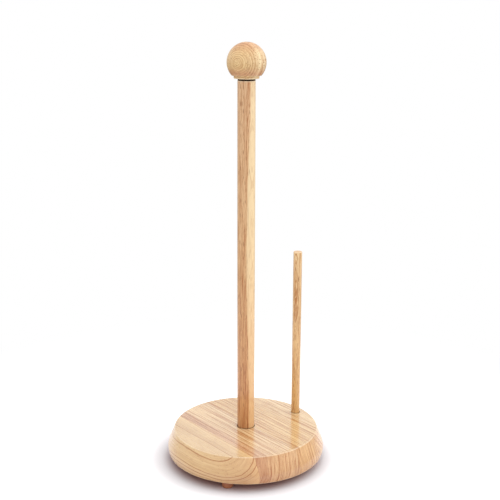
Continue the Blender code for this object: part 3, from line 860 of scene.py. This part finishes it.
def pan_head_screw(name, head_top, tip, radius, head_radius, head_height, pitch):
    """A wood screw pointing up, with a cross recess in its domed head."""
    head = turned(name, rounded([
        (0.0, head_top, 0.0),
        (head_radius, head_top, 0.12 * head_height),
        (head_radius, head_top - 0.45 * head_height, 0.25 * head_height),
        (0.62 * head_radius, head_top - head_height, 0.5 * head_height),
        (0.0, head_top - head_height, 0.0),
    ]), SMALL_STEPS)
    bm = bmesh.new()
    reach, arm, depth = 0.62 * head_radius, 0.13 * head_radius, 0.62 * head_height
    quarter = ((reach, -arm), (reach, arm), (arm, arm))
    corners = [(x * c - y * s, x * s + y * c)
               for c, s in ((1, 0), (0, 1), (-1, 0), (0, -1)) for x, y in quarter]
    bottom = head_top - head_height
    rings = [[bm.verts.new((x * size, y * size, z)) for x, y in corners]
             for size, z in ((1.1, bottom - 0.2 * MM), (0.55, bottom + depth))]
    for i in range(len(corners)):
        j = (i + 1) % len(corners)
        bm.faces.new((rings[0][i], rings[0][j], rings[1][j], rings[1][i]))
    bm.faces.new(rings[0])
    bm.faces.new(rings[1])
    head = cut(head, "DIFFERENCE", finished(bm, "recess"))
    taper = 3.0 * radius

    def radii(height):
        share = min(max((tip - height) / taper, 0.0), 1.0)
        grip = min(max((height - head_top) / (1.5 * pitch), 0.0), 1.0)
        core = 0.68 * radius * share ** 0.8 + 0.02 * radius
        return core, core + (radius * (0.25 + 0.75 * share) - core) * grip * min(1.0, 3 * share)

    shank = threaded(name + "_shank", head_top - 0.1 * MM, tip - 0.05 * MM, pitch, WOOD_THREAD, radii,
                     SCREW_STEPS)
    bm = bmesh.new()
    bm.from_mesh(head)
    bm.from_mesh(shank)
    return finished(bm, name)


def add_post_screw():
    """The screw up through the base into the post, and its washer."""
    screw_low, screw_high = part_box("post_screw")
    low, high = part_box("post_screw_washer")
    head_top = low.z - WASHER_CLEARANCE
    screw = pan_head_screw("dowel_screw", head_top, screw_high.z, POST_SCREW_RADIUS, screw_high.x,
                           head_top - screw_low.z, POST_SCREW_PITCH)
    add_piece("dowel_screw", screw, STEEL, "root", "steel", "post_screw")
    ring = rounded([
        (high.x, high.z, 0.2 * MM),
        (high.x, low.z, 0.2 * MM),
        (SCREW_HOLE_RADIUS, low.z, 0.15 * MM),
        (SCREW_HOLE_RADIUS, high.z, 0.15 * MM),
    ])
    washer = turned("steel_washer", ring, SMALL_STEPS, closed=True)
    add_piece("steel_washer", washer, ZINC, "root", "zinc", "post_screw_washer")


def add_feet():
    """Four rubber feet, each with a small screw up its middle."""
    foot_high = FEET[0][1]
    screw_low, screw_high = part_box("foot_screw_1")
    ring = rounded([
        (FOOT_TOP_RADIUS, foot_high.z, 0.35 * MM),
        (FOOT_SOLE_RADIUS, 0.0, 1.2 * MM),
        (FOOT_RECESS_RADIUS, 0.0, 0.3 * MM),
        (FOOT_RECESS_RADIUS, FOOT_RECESS_DEPTH, 0.2 * MM),
        (FOOT_PILOT_RADIUS, FOOT_RECESS_DEPTH, 0.0),
        (FOOT_PILOT_RADIUS, foot_high.z, 0.0),
    ])
    foot = turned("rubber_foot", ring, SMALL_STEPS, closed=True)
    head_radius = (screw_high.x - screw_low.x) / 2
    head_top = FOOT_RECESS_DEPTH - 0.05 * MM
    screw = pan_head_screw("foot_screw", head_top, screw_high.z, FOOT_SCREW_RADIUS, head_radius,
                           head_top - screw_low.z, FOOT_SCREW_PITCH)
    for number, (_, _, centre) in enumerate(FEET, 1):
        own_foot = moved(foot, centre.x, centre.y)
        add_piece(f"rubber_foot_{number}", own_foot, RUBBER, "root", "brown_rubber", f"foot_{number}")
        own_screw = moved(screw, centre.x, centre.y)
        add_piece(f"small_screw_{number}", own_screw, STEEL, "root", "steel", f"foot_screw_{number}")


add_base()
add_dowels()
add_knob()
add_joint_parts()
add_post_screw()
add_feet()

# ---------------------------------------------------------------- floor, light and camera

scene = bpy.context.scene
scene.view_settings.view_transform = "Standard"

FLOOR_RADIUS = 0.5
SHADOW_CENTRE = (-2.0, 1.3, 0.0)     # mm
CONTACT_FADE = (0.061, 0.080)        # each fade runs between two distances from the shadow's centre
SOFT_FADE = (0.073, 0.101)
WHITE_FADE = (0.10, 0.42)
CONTACT_SHADOW = (0.40, 0.25, 0.25)
SOFT_SHADOW = (0.77, 0.75, 0.78)
FLOOR_GREY = (0.80, 0.80, 0.80)


def add_floor():
    """A pale floor: dark under the base, then a soft shadow that fades out to plain white."""
    bm = bmesh.new()
    bmesh.ops.create_circle(bm, cap_ends=True, segments=96, radius=FLOOR_RADIUS)
    mesh = bpy.data.meshes.new("floor")
    bm.to_mesh(mesh)
    bm.free()
    floor = bpy.data.objects.new("floor", mesh)
    scene.collection.objects.link(floor)
    paint = Paint("pale_floor")
    offset = paint.vector("SUBTRACT", paint.place, SHADOW_CENTRE)
    out = paint.math("MULTIPLY", paint.vector("LENGTH", offset), MM)
    # Painted light: the floor glows a little just outside its painted shadow and fully far out, so the
    # shadow fades to plain white
    near = paint.between(out, *SOFT_FADE, 0.0, 0.40)
    far = paint.between(out, *WHITE_FADE)
    shaded = paint.mix(paint.between(out, *CONTACT_FADE), CONTACT_SHADOW, SOFT_SHADOW)
    shaded = paint.mix(near, shaded, FLOOR_GREY)
    paint.set(Base_Color=paint.mix(far, shaded, (0.0, 0.0, 0.0)), Roughness=0.9,
              Specular_IOR_Level=0.0, Emission_Color=(1.0, 1.0, 1.0, 1.0),
              Emission_Strength=paint.math("MULTIPLY_ADD", near, paint.math("SUBTRACT", 1.0, far), far))
    mesh.materials.append(paint.material)


def add_world(strength, below):
    """White surroundings that light the piece less from below and look plain white to the camera."""
    world = bpy.data.worlds.new("studio")
    scene.world = world
    world.use_nodes = True
    nodes, links = world.node_tree.nodes, world.node_tree.links
    rays = nodes.new("ShaderNodeLightPath")
    level = nodes.new("ShaderNodeMath")
    links.new(rays.outputs["Is Camera Ray"], level.inputs[0])
    place = nodes.new("ShaderNodeTexCoord")
    split = nodes.new("ShaderNodeSeparateXYZ")
    links.new(place.outputs["Generated"], split.inputs[0])
    fall = nodes.new("ShaderNodeMapRange")
    for socket, value in zip(fall.inputs[1:], (-0.15, 0.1, below, strength)):
        socket.default_value = value
    links.new(split.outputs["Z"], fall.inputs["Value"])
    level.operation = "MAXIMUM"
    links.new(fall.outputs[0], level.inputs[1])
    background = nodes["Background"]
    background.inputs["Color"].default_value = (1.0, 1.0, 1.0, 1.0)
    links.new(level.outputs[0], background.inputs["Strength"])


def add_softbox(name, place, size, watts):
    """A rectangular light that faces AIM and is left out of reflections."""
    light = bpy.data.lights.new(name, "AREA")
    light.shape = "RECTANGLE"
    light.size, light.size_y = size
    light.energy = watts
    softbox = bpy.data.objects.new(name, light)
    scene.collection.objects.link(softbox)
    softbox.location = place
    softbox.visible_glossy = False
    softbox.rotation_mode = "QUATERNION"
    softbox.rotation_quaternion = (AIM - Vector(place)).to_track_quat("-Z", "Y")


AIM = Vector((0.0, 0.0, 0.15))       # on the post's axis, a little below half its height
add_floor()
add_world(strength=1.0, below=0.34)
add_softbox("overhead", (0.35, 0.2, 1.4), size=(1.3, 1.3), watts=3.5)
add_softbox("right", (1.0, -0.65, 0.75), size=(0.9, 1.1), watts=4.3)
add_softbox("front", (-0.6, -1.3, 1.0), size=(1.0, 1.0), watts=3.1)

CAMERA_PLACE = (-0.4860, -0.7463, 0.4407)
CAMERA_TURN = math.radians(-33.3)    # round the vertical
CAMERA_DIP = math.radians(14.74)     # below level
CAMERA_ROLL = 0.0034
camera = bpy.data.objects.new("camera", bpy.data.cameras.new("camera"))
scene.collection.objects.link(camera)
camera.data.lens = 72.0
camera.data.sensor_width = 36.0
camera.location = CAMERA_PLACE
camera.rotation_mode = "QUATERNION"
gaze = Euler((math.pi / 2 - CAMERA_DIP, 0.0, CAMERA_TURN)).to_matrix()
camera.rotation_quaternion = (gaze @ Matrix.Rotation(CAMERA_ROLL, 3, "Z")).to_quaternion()
scene.camera = camera
